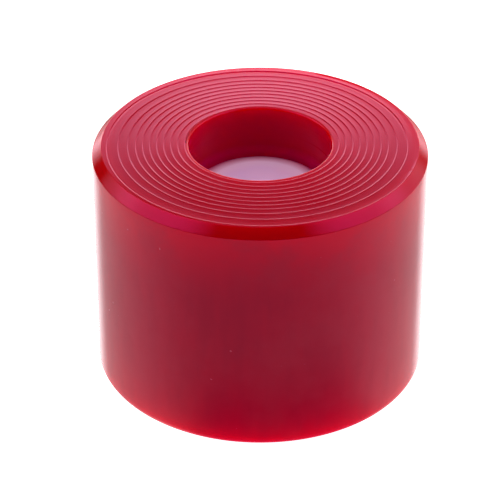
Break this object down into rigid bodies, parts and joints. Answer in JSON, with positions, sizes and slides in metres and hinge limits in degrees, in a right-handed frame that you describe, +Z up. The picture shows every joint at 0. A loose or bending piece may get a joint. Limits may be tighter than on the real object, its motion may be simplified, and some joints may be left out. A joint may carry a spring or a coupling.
{
  "type": "polyurethane buffer",
  "caption": "Thick-walled cylindrical polyurethane buffer with a chamfered, faced top, a round top recess and a pale hard core with a centre hole.",
  "frame": {"origin": "centre of the base", "axes": "+Z up along the part's axis, from the base to the faced top; +X and +Y are any two radial directions, since the part is round"},
  "size_m": [0.08, 0.08, 0.06],
  "materials": {
    "red_urethane": "translucent deep red cast polyurethane, glossy as moulded on the side, finely turned on the top face",
    "pale_core": "smooth satin, pale lilac-white"
  },
  "bodies": {
    "root": {"urethane_body": "red_urethane", "core_insert": "pale_core"}
  },
  "joints": []
}
